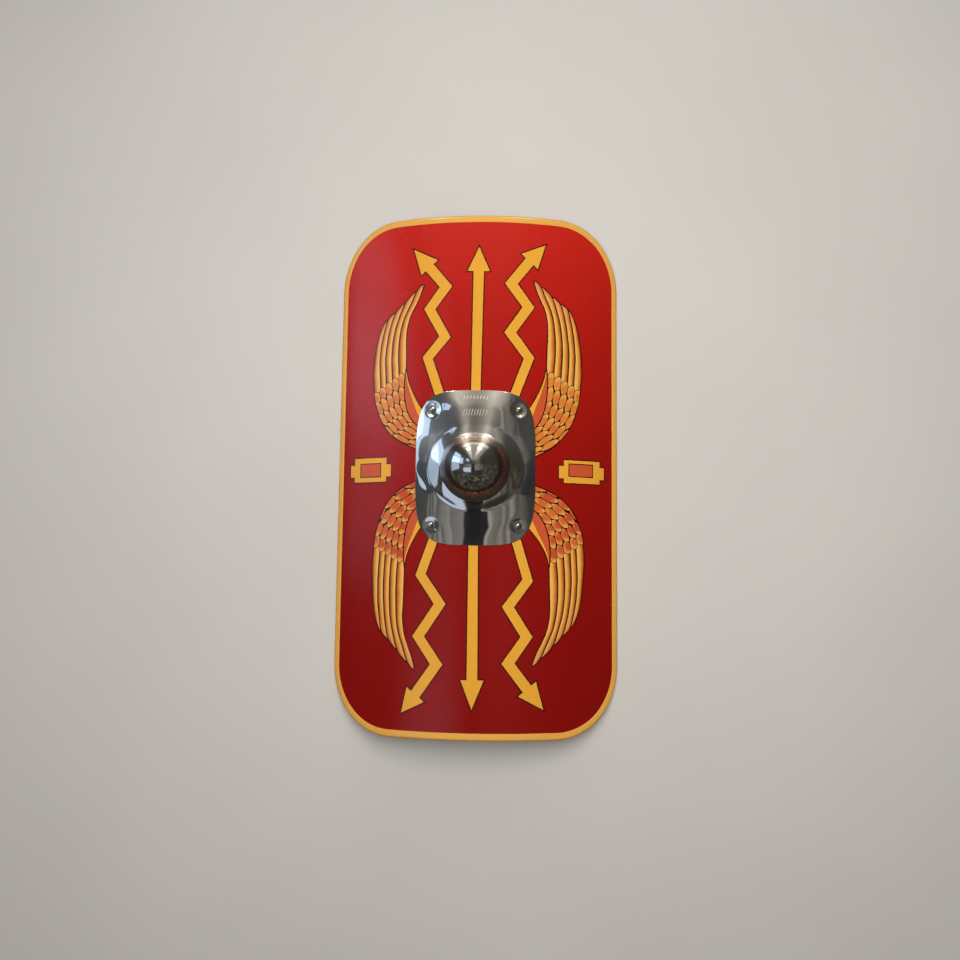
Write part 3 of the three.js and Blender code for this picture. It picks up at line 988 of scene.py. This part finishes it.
def make_edging():
    corner_x, corner_y = SHIELD_ARC / 2 - CORNER_RADIUS, SHIELD_HEIGHT / 2 - CORNER_RADIUS
    section = edging_section()
    made = bmesh.new()
    stations = []
    for x, y in rounded_outline(SHIELD_ARC / 2, SHIELD_HEIGHT / 2, CORNER_RADIUS, 36, 8):
        way = np.array([x - min(max(x, -corner_x), corner_x), y - min(max(y, -corner_y), corner_y)])
        way = way / np.linalg.norm(way)
        unevenness = LIP_WANDER * noise.noise(Vector((x * 0.02, y * 0.02, 4.0)))
        row = []
        for back, out in section:
            reach = back + (unevenness if back < -EDGING_DEPTH + 1 else 0)
            place = bend(x + way[0] * reach, y + way[1] * reach, out)
            place.z = max(place.z, 0.0)
            row.append(made.verts.new(place))
        stations.append(row)
    skin(made, stations)
    bmesh.ops.remove_doubles(made, verts=made.verts, dist=0.001)
    bmesh.ops.recalc_face_normals(made, faces=made.faces)
    smooth_piece("channel_edging", made, edging_paint, "edging", 50)


# ---------------------------------------------------------------- boss

DIMPLE = 20
PLATE_LIFT = 4.2
LOWER_LIFT = 0.4
EDGE_FALL = 42
FLAT_LENGTH = 48
COLLAR_END = 91
COLLAR_SWEEP = 0.3
FILLET = 1.8
WAVES = 0.9
EDGE_ROUND = BOSS_SHEET / 2
OUTLINE_POINTS = 220
OUTLINE_CROWDING = 0.35
BOSS_COLUMNS = 160
DOME_ROWS = 32
FILLET_PARTS = 0.2, 0.4, 0.6, 0.8
EDGE_TILTS = -50, -20, 20, 50
EDGE_INSETS = 0.7, 1.6, 3.2, 5.6
INMOST_INSET = 6.5
RIVET_RINGS = 4.5, 6.5, 8.5, 10.5, 12.5, 14.5, 17
CLEAR_OF_RIVETS = 18
COLLAR_RING_STEP = 2.6
PLATE_GRID = 117, 153, 3, 3
BOSS_RIVETS = [(x * RIVET_ACROSS, y * RIVET_ALONG) for x, y in QUADRANTS.values()]

STROKE_WIDTH = 2.1
STROKE_SLANT = 0.28
STROKE_STOPS = 0, 0.12, 0.3, 0.5, 0.7, 0.88, 1
STROKE_TAPER = 0.35, 0.85, 1, 1, 1, 0.85, 0.35
# Each row above the dome: how many strokes, the first one's place, their pitch, foot, height and depth.
STROKE_ROWS = (9, -26, 5.6, 103, 14, 0.45), (8, -24, 6.6, 137, 7, 0.225)


def plate_reach(angle):
    across = abs(math.cos(angle)) / BOSS_HALF_WIDTH
    along = abs(math.sin(angle)) / BOSS_HALF_HEIGHT
    return (across**BOSS_SQUARENESS + along**BOSS_SQUARENESS) ** (-1 / BOSS_SQUARENESS)


def ease(low, high, value):
    part = min(max((value - low) / (high - low), 0.0), 1.0)
    return part**3 * (part * (6 * part - 15) + 10)


def collar_part(across, along):
    """How much of the way from the plate up to the foot of the dome the sheet has risen."""
    radius = math.hypot(across, along)
    reach = lerp(COLLAR_END, COLLAR_RADIUS, (across / max(radius, 1)) ** 2)
    part = min(max((reach - radius) / (reach - DOME_RADIUS), 0.0), 1.0)
    risen = part**2 / (2 * COLLAR_SWEEP) if part < COLLAR_SWEEP else part - COLLAR_SWEEP / 2
    return risen / (1 - COLLAR_SWEEP / 2)


def plate_lift(across, along):
    """How far the plate stands off the board: drawn down at its edge, dished round the rivets, and wavy."""
    angle, radius = math.atan2(along, across), math.hypot(across, along)
    edge = min(max((plate_reach(angle) - radius) / EDGE_FALL, 0.0), 1.0)
    free = 1.5 * edge - 0.5 * edge**3
    for x, y in BOSS_RIVETS:
        free *= ease(RIVET_HEAD, DIMPLE, math.hypot(across - x, along - y))
    long_waves = noise.noise(Vector((across / 50, along / 95, 1.7)))
    short_waves = noise.noise(Vector((across / 26, along / 48, 8.1)))
    lift = PLATE_LIFT * (1 - 0.92 * math.exp(-((along / FLAT_LENGTH) ** 2)))
    lift *= lerp(1, LOWER_LIFT, ease(30, 90, -along))
    return free * max(0.0, lift + WAVES * (long_waves + 0.3 * short_waves) * lift / PLATE_LIFT)


def plate_place(across, along):
    """The outer side of the collar and the plate, from the middle of the boss."""
    place = bend(across, along + BOSS_CENTRE_Y, GAP + BOSS_SHEET + plate_lift(across, along))
    place.z = lerp(place.z, CREASE_Z, collar_part(across, along))
    return place


def plate_normal(across, along, step=0.25):
    along_x = plate_place(across + step, along) - plate_place(across - step, along)
    along_y = plate_place(across, along + step) - plate_place(across, along - step)
    return along_x.cross(along_y).normalized()


def dome_rows(steps):
    """The crown's place, and rows of places and normals from there down to the fillet on the collar."""
    sphere = (DOME_RADIUS**2 + DOME_HEIGHT**2) / (2 * DOME_HEIGHT)
    centre = Vector((0, BOSS_CENTRE_Y, CREASE_Z + DOME_HEIGHT - sphere))
    last = math.acos((CREASE_Z - centre.z) / sphere) - 0.02
    radials = [Vector((math.cos(t), math.sin(t), 0)) for t in steps]
    up = Vector((0, 0, 1))
    rows = []
    for i in range(1, DOME_ROWS + 1):
        tilt = last * i / DOME_ROWS
        ways = [radial * math.sin(tilt) + up * math.cos(tilt) for radial in radials]
        rows.append(([centre + way * sphere for way in ways], ways))
    starts = rows[-1][0]
    for part in FILLET_PARTS:
        places, ways = [], []
        for radial, start in zip(radials, starts):
            end = plate_place(*(radial * (DOME_RADIUS + FILLET)).xy)
            corner = Vector((0, BOSS_CENTRE_Y, CREASE_Z - 0.25)) + radial * DOME_RADIUS
            places.append(start * (1 - part) ** 2 + corner * 2 * part * (1 - part) + end * part**2)
            tangent = (corner - start) * (1 - part) + (end - corner) * part
            ways.append(tangent.cross(up.cross(radial)).normalized())
        rows.append((places, ways))
    return centre + up * sphere, rows


def engraved_strokes():
    """Rows of shallow slanting strokes that stand for the inscription: each stroke's line and its depth."""
    for count, left, pitch, foot, height, depth in STROKE_ROWS:
        for i in range(count):
            start = np.array([left + pitch * i, foot])
            yield start + np.outer(STROKE_STOPS, (STROKE_SLANT * height, height)), depth


def divide_plate():
    """The plate and collar as a flat sheet, its outline and openings, and the strokes' regions and floors."""
    outline = []
    for even in round_turn(OUTLINE_POINTS):
        angle = even + OUTLINE_CROWDING * math.sin(4 * even) / 4
        reach = plate_reach(angle) - EDGE_ROUND
        outline.append((reach * math.cos(angle), reach * math.sin(angle)))
    outline = np.array(outline)
    crease = ring((0, 0), DOME_RADIUS + FILLET, BOSS_COLUMNS)
    rivets = [ring(place, RIVET_SHANK + GAP, RIVET_STEPS) for place in BOSS_RIVETS]
    sheet = Sheet()
    loops = [sheet.loop(r) for r in (outline, crease, *rivets)]
    for radius in np.arange(DOME_RADIUS + FILLET + 2.4, COLLAR_RADIUS + 1, COLLAR_RING_STEP):
        sheet.scatter(ring((0, 0), radius, BOSS_COLUMNS))
    for inset in EDGE_INSETS:
        sheet.scatter(grown(outline, -inset))
    inmost = grown(outline, -INMOST_INSET)
    for place in BOSS_RIVETS:
        for radius in RIVET_RINGS:
            around = ring(place, radius, 40)
            sheet.scatter(around[turns_round(inmost, around) > 0])
    grid = grid_over(*PLATE_GRID)
    free = (np.linalg.norm(grid, axis=1) > COLLAR_RADIUS + 2) & (turns_round(inmost, grid) > 0)
    for place in BOSS_RIVETS:
        free &= np.linalg.norm(grid - place, axis=1) > CLEAR_OF_RIVETS
    sheet.scatter(grid[free])
    grooves, floors = [], {}
    for line, depth in engraved_strokes():
        grooves.append(band(line, STROKE_WIDTH * np.array(STROKE_TAPER)))
        sheet.loop(grooves[-1])
        first = len(sheet.points)
        sheet.scatter(line[1:-1])
        sheet.edges += [(i, i + 1) for i in range(first, len(sheet.points) - 1)]
        floors |= {(round(x, 3), round(y, 3)): depth for x, y in line[1:-1]}
    return sheet.divide().keep(outline, [crease, *rivets]), loops, grooves, floors


def make_boss():
    sheet, loops, grooves, floors = divide_plate()
    build = Build()
    normals = [plate_normal(x, y) for x, y in sheet.vertices]
    places = [plate_place(x, y) for x, y in sheet.vertices]
    depths = [floors.get((round(x, 3), round(y, 3)), 0) for x, y in sheet.vertices]
    outer = build.add(p - n * depth for p, n, depth in zip(places, normals, depths))
    inner = build.add(p - n * BOSS_SHEET for p, n in zip(places, normals))
    smooth = dict(zip(outer, normals)) | dict(zip(inner, (-n for n in normals)))
    grooved = np.zeros(len(sheet.triangles), bool)
    for region in grooves:
        grooved |= turns_round(region, sheet.middles) > 0
    for triangle, in_groove in zip(sheet.triangles, grooved):
        corners = [outer[i] for i in triangle]
        build.face(corners, 2 if in_groove else 0, None if in_groove else [smooth[i] for i in corners])
        corners = [inner[i] for i in triangle[::-1]]
        build.face(corners, 1, [smooth[i] for i in corners])

    def around(skin_ids, loop):
        return [skin_ids[sheet.places[i]] for i in loop]

    top, rows = dome_rows(round_turn(BOSS_COLUMNS))
    for skin_ids, look, sign, depth in ((outer, 0, 1, 0), (inner, 1, -1, BOSS_SHEET)):
        crown = build.add([top - Vector((0, 0, depth))])[0]
        smooth[crown] = Vector((0, 0, sign))
        levels = []
        for row, ways in rows:
            ids = build.add(p - w * depth for p, w in zip(row, ways))
            smooth.update(zip(ids, (w * sign for w in ways)))
            levels.append(ids)
        levels.append(around(skin_ids, loops[1]))
        for a, b in zip(levels[0], turned_on(levels[0])):
            corners = (crown, a, b)[::sign]
            build.face(corners, look, [smooth[k] for k in corners])
        for upper, lower in zip(levels, levels[1:]):
            build.strip(*(lower, upper)[::sign], look, smooth)

    flat = sheet.vertices[[sheet.places[i] for i in loops[0]]]
    ways = side_ways(turned_left(flat), closed=True)
    ways /= np.linalg.norm(ways, axis=1, keepdims=True)
    levels = [around(inner, loops[0])]
    for tilt in map(math.radians, EDGE_TILTS):
        row, normals = [], []
        for (x, y), (way_x, way_y) in zip(flat, ways):
            normal, place = plate_normal(x, y), plate_place(x, y)
            away = (plate_place(x + way_x, y + way_y) - place).normalized()
            normals.append(away * math.cos(tilt) + normal * math.sin(tilt))
            row.append(place + (normals[-1] - normal) * EDGE_ROUND)
        ids = build.add(row)
        smooth.update(zip(ids, normals))
        levels.append(ids)
    levels.append(around(outer, loops[0]))
    for lower, upper in zip(levels, levels[1:]):
        build.strip(lower, upper, 0, smooth)
    for loop in loops[2:]:
        build.strip(around(outer, loop), around(inner, loop), 1)
    build.piece("steel_boss", [boss_steel, boss_inside, engraved_steel], "boss_steel", "boss")


# ---------------------------------------------------------------- rivets, grip and screws

HAMMERED = 0.22
END_ROUND = 1.2


def cap(radius, base, height, steps=9):
    """A domed end's profile, from its rim at the base to its crown on the axis."""
    angles = [math.pi / 2 * i / steps for i in range(steps)]
    rim = [(radius * math.cos(angle), base + height * math.sin(angle)) for angle in angles]
    return [*rim, (0, base + height)]


def make_rivets():
    head_base = GAP + BOSS_SHEET + GAP
    tail_base = -BOARD_THICKNESS - GAP
    tail = cap(RIVET_TAIL, tail_base, -RIVET_TAIL_HEIGHT)[::-1]
    head = cap(RIVET_HEAD, head_base, RIVET_HEAD_HEIGHT)
    for name, (across, along) in RIVETS.items():
        made = turned([*tail, (RIVET_SHANK, tail_base), (RIVET_SHANK, head_base), *head])
        for vertex in made.verts:
            if vertex.co.z < tail_base or vertex.co.z > head_base:
                struck = abs(HAMMERED * noise.noise(Vector((*vertex.co.xy, across)) * 0.35))
                vertex.co.z -= math.copysign(struck, vertex.co.z)
        turn = Matrix.Rotation(across / FACE_RADIUS, 4, "Y")
        moved(made, Matrix.Translation(bend(across, along)) @ turn)
        smooth_piece(f"rivet_{name}", made, rivet_steel, f"boss_rivet_{name}")


def grip_section(x, steps=7):
    """The grip's section at one place along it, as in the CAD source but rounder."""
    swell = 0 if abs(x) >= PAD_INNER else math.cos(math.pi / 2 * x / PAD_INNER) ** 2
    top = level_at(x, BACK_RADIUS) - GAP - swell * GRIP_DROP
    bar_bottom = level_at(0, BACK_RADIUS) - GAP - GRIP_DROP - GRIP_BAR
    bottom = lerp(PAD_BOTTOM, bar_bottom, swell)
    radius = lerp(GRIP_EDGE_RADIUS, GRIP_BAR / 2 - 1, math.sqrt(swell))
    width, middle = GRIP_WIDTH - swell * GRIP_WAIST, (top + bottom) / 2
    section = rounded(width / 2, (top - bottom) / 2, radius, steps)
    return [Vector((x, BOSS_CENTRE_Y + y, middle + z)) for y, z in section]


def make_grip():
    last = GRIP_LENGTH / 2 - END_ROUND
    pads = [*np.linspace(PAD_INNER, last, 10)[1:]]
    places = [*(-x for x in reversed(pads)), *np.linspace(-PAD_INNER, PAD_INNER, 49), *pads]
    rows = [grip_section(x) for x in places]
    for side, row in ((-1, rows[0]), (1, rows[-1])):
        middle = sum(row, Vector()) / len(row)
        for step, shrink in ((0.8, 0.985), (END_ROUND, 0.94)):
            end = [Vector((side * (last + step), *lerp(middle, p, shrink).yz)) for p in row]
            rows.insert(0 if side < 0 else len(rows), end)
    made = closed_body(rows, [sum(row, Vector()) / len(row) for row in (rows[0], rows[-1])])
    piece = smooth_piece("wooden_grip", made, grip_wood, "grip", 35)
    radius = SCREW_SHANK + GAP
    hole = [(0, 20), (radius, 20), (radius, 140), (0, 140)]
    cut(piece, [moved(turned(hole, 24), Matrix.Translation((x, y, 0))) for x, y in SCREWS.values()])


def make_screws():
    head_base = PAD_BOTTOM - GAP
    tip = level_at(SCREW_ACROSS, FACE_RADIUS) - SCREW_COVER
    head = cap(SCREW_HEAD, head_base, -SCREW_HEAD_HEIGHT)[::-1]
    for name, (x, y) in SCREWS.items():
        made = turned([*head, (SCREW_SHANK, head_base), (SCREW_SHANK, tip - SCREW_SHANK), (0, tip)], 32)
        moved(made, Matrix.Translation((x, y, 0)))
        piece = smooth_piece(f"screw_{name}", made, screw_steel, f"grip_screw_{name}")
        slot = bmesh.new()
        bmesh.ops.create_cube(slot, size=1)
        size = Matrix.Diagonal((3 * SCREW_HEAD, SLOT_WIDTH, 2 * SLOT_DEPTH, 1))
        cut(piece, [moved(slot, Matrix.Translation((x, y, head_base - SCREW_HEAD_HEIGHT)) @ size)])


make_board()
make_edging()
make_boss()
make_rivets()
make_grip()
make_screws()

# ---------------------------------------------------------------- floor, light and camera

FLOOR_SIZE, FLOOR_Z, BACKDROP_RADIUS = 9, -0.0003, 11
WINDOW_RADIANCE = 1.25
WINDOW_X = -1.2
DAYLIGHT = (0.66, 0.86, 1.12)
# The panes, in metres: each is its lower end, its upper end, its two sides, and its strength.
PANES = [
    (0.3, 1.1, -0.22, 0.26, 0.7), (0.3, 1.1, 0.26, 0.64, 1.9), (0.3, 1.1, 0.66, 0.96, 1.2),
    (1.1, 1.68, 0.2, 0.8, 1.0), (2.5, 2.8, 0.7, 1.2, 1.0), (2.86, 3.9, 0.8, 1.3, 1.0),
]
# The upright stripes of the room, above the middle of the boss and below it: place across, red, green, blue.
UPPER_STRIPES = [
    (-0.62, 0.05, 0.05, 0.055), (-0.32, 0.1, 0.105, 0.12), (-0.24, 0.05, 0.055, 0.07),
    (-0.1, 0.07, 0.07, 0.075), (0.02, 0.13, 0.125, 0.105), (0.13, 0.11, 0.1, 0.085),
    (0.155, 0.42, 0.4, 0.35), (0.19, 0.13, 0.12, 0.1), (0.26, 0.22, 0.195, 0.16),
    (0.33, 0.16, 0.14, 0.115), (0.37, 0.03, 0.027, 0.025), (0.41, 0.13, 0.125, 0.115),
    (0.47, 0.04, 0.045, 0.05), (0.62, 0.03, 0.03, 0.03),
]
LOWER_STRIPES = [
    (-0.62, 0.08, 0.09, 0.09), (-0.55, 0.3, 0.31, 0.28), (-0.52, 0.07, 0.07, 0.06),
    (-0.48, 0.34, 0.33, 0.29), (-0.45, 0.1, 0.1, 0.09), (-0.41, 0.4, 0.39, 0.35),
    (-0.37, 0.13, 0.12, 0.1), (-0.34, 0.3, 0.29, 0.26), (-0.27, 0.42, 0.4, 0.36),
    (-0.25, 0.24, 0.22, 0.19), (-0.17, 0.33, 0.31, 0.28), (-0.15, 0.006, 0.006, 0.009),
    (0.05, 0.006, 0.006, 0.009), (0.06, 0.65, 0.62, 0.56), (0.085, 0.3, 0.28, 0.24),
    (0.15, 0.22, 0.2, 0.17), (0.2, 0.4, 0.38, 0.33), (0.25, 0.16, 0.14, 0.12),
    (0.3, 0.5, 0.47, 0.42), (0.34, 0.14, 0.12, 0.1), (0.45, 0.2, 0.18, 0.16), (0.6, 0.06, 0.06, 0.06),
]
# The camera over the crest of the board, in millimetres, and its turns about Y, X and Z.
CAMERA_PLACE = (91.86, -183.38, 1784.4)
CAMERA_TURNS = (0.04574, 0.09268, 0.01209)


def stage(name, made, material):
    """Makes a body into an object in the scene, which isn't attached to the shield."""
    mesh = bpy.data.meshes.new(name)
    made.to_mesh(mesh)
    made.free()
    mesh.materials.append(material)
    thing = shown(mesh)
    return thing


def make_floor():
    made = bmesh.new()
    bmesh.ops.create_grid(made, x_segments=8, y_segments=8, size=FLOOR_SIZE)
    n = painted("floor_paper")
    colour = n.clouded(linear(214, 211, 206), n.noise(2.0, 3, 0.5), 0.97)
    floor = stage("floor", made, n.set(Base_Color=colour, Roughness=0.85))
    floor.location.z = FLOOR_Z
    floor.visible_glossy = False


def make_backdrop():
    """A plain grey wall all round, which only the camera sees."""
    made = bmesh.new()
    bmesh.ops.create_uvsphere(made, u_segments=48, v_segments=24, radius=BACKDROP_RADIUS)
    paper = painted("backdrop_paper")
    paper.set(Base_Color=linear(0, 0, 0), Roughness=1.0)
    wall = stage("backdrop", made, paper.set(Emission_Color=linear(168, 165, 160), Emission_Strength=1.0))
    wall.visible_diffuse = wall.visible_glossy = wall.visible_transmission = wall.visible_shadow = False


def make_light(name, place, target, size, power, colour, shape="RECTANGLE", shines=True, lights=True):
    """A flat lamp. One that doesn't shine leaves no reflection. One that doesn't light leaves only that."""
    lamp = bpy.data.lights.new(name, "AREA")
    lamp.shape, (lamp.size, lamp.size_y) = shape, size
    lamp.energy, lamp.color = power, colour
    lamp.cycles.use_multiple_importance_sampling = shines
    thing = bpy.data.objects.new(name, lamp)
    thing.location = place
    thing.rotation_euler = (Vector(target) - Vector(place)).to_track_quat("-Z", "Y").to_euler()
    thing.visible_camera, thing.visible_glossy, thing.visible_diffuse = False, shines, lights
    bpy.context.scene.collection.objects.link(thing)


def make_window():
    """Tall panes in the wall at the left, which only show as reflections."""
    for i, (low, high, near, far, strength) in enumerate(PANES):
        place = Vector((WINDOW_X, (near + far) / 2, (low + high) / 2))
        size = (far - near, high - low)
        power = strength * WINDOW_RADIANCE * math.pi * size[0] * size[1]
        make_light(f"window_{i + 1}", place, place + Vector((1, 0, 0)), size, power, DAYLIGHT, lights=False)


def make_world():
    """A dim room, which the steel and the paint's gloss reflect, and which lights the scene faintly.

    The camera doesn't see it. Its places are across and along a plane one unit above the shield.
    """
    n = Nodes(bpy.data.worlds.new("studio"), "Background")
    x, y, z = n.split(n.where("Generated"))
    height = n.math("MAXIMUM", z, 0.04)
    across, along = n.math("DIVIDE", x, height), n.math("DIVIDE", y, height)
    flat = n.node("CombineXYZ", {0: across, 1: along}).outputs[0]
    wander = n.spread(n.noise(4.0, 2, 0.4, flat), 0.25, 0.75, -0.03, 0.03)
    place = n.spread(n.plus(across, wander), -1, 1)

    def between(value, low, high, soft):
        rising = n.ease(value, low - soft, low + soft)
        return n.times(rising, n.ease(value, high - soft, high + soft, 1.0, 0.0))

    def panel(part, below, *colour):
        return n.mix(part, below, (*colour, 1.0))

    def stripes(stops):
        """Upright stripes: each is its place across, and its colour."""
        return n.ramp(place, *(((where + 1) / 2, (*colour, 1.0)) for where, *colour in stops))

    upper, lower = stripes(UPPER_STRIPES), stripes(LOWER_STRIPES)
    lower = n.mix(n.ease(along, -0.34, -0.24), (0.035, 0.032, 0.026, 1.0), lower)
    room = n.mix(n.ease(along, 0.06, 0.095), lower, upper)

    far = n.ramp(
        n.noise(4.5, 4, 0.6, None, 0.5),
        (0.38, (0.02, 0.018, 0.015, 1)), (0.54, (0.09, 0.078, 0.058, 1)), (0.68, (0.26, 0.23, 0.175, 1)),
    )
    far = panel(n.ease(y, -0.1, 0.15), far, 0.055, 0.05, 0.038)
    room = n.mix(n.ease(z, 0.78, 0.86), far, room)
    top = between(n.math("DIVIDE", x, n.math("MAXIMUM", y, 0.001)), -0.58, 0.66, 0.12)
    room = panel(n.times(top, between(along, 0.34, 60, 0.14)), room, 0.42, 0.38, 0.31)
    room = panel(n.times(top, between(z, 0.07, 0.26, 0.03)), room, 1.0, 0.92, 0.74)
    patch = n.times(between(across, -0.75, -0.2, 0.03), between(along, -0.42, -0.13, 0.03))
    room = panel(patch, room, 0.9, 1.02, 1.26)
    room = panel(n.ease(z, 0.0, 0.1, 1.0, 0.0), room, 0.02, 0.014, 0.012)
    bpy.context.scene.world = n.set(Color=room, Strength=1.0)


def make_camera():
    """It looks down on the shield, a little from the right of its middle and from below it."""
    data = bpy.data.cameras.new("camera")
    data.sensor_width, data.lens = 36, 33.93
    data.clip_start, data.clip_end = 0.05, 50
    camera = bpy.data.objects.new("camera", data)
    x, y, height = CAMERA_PLACE
    place = Matrix.Translation(Vector((x, y, AXIS_Z + FACE_RADIUS + height)) * MM)
    yaw, pitch, roll = (Matrix.Rotation(angle, 4, axis) for angle, axis in zip(CAMERA_TURNS, "YXZ"))
    camera.matrix_world = place @ yaw @ pitch @ roll
    bpy.context.scene.collection.objects.link(camera)
    bpy.context.scene.camera = camera


make_floor()
make_backdrop()
make_world()
make_window()
make_light("softbox", (0.1, 0.5, 2.3), (0.05, 0.3, 0), (1.6, 2.2), 52, (1.0, 0.99, 0.97), shines=False)
for name, place in (("lamp_left", (-0.56, 1.62, 1.05)), ("lamp_right", (0.46, 1.66, 1.05))):
    make_light(name, place, (0, 0.1, 0.1), (0.3, 0.3), 12, (1.0, 0.93, 0.82), "ELLIPSE", lights=False)
make_camera()
bpy.context.scene.view_settings.view_transform = "Standard"
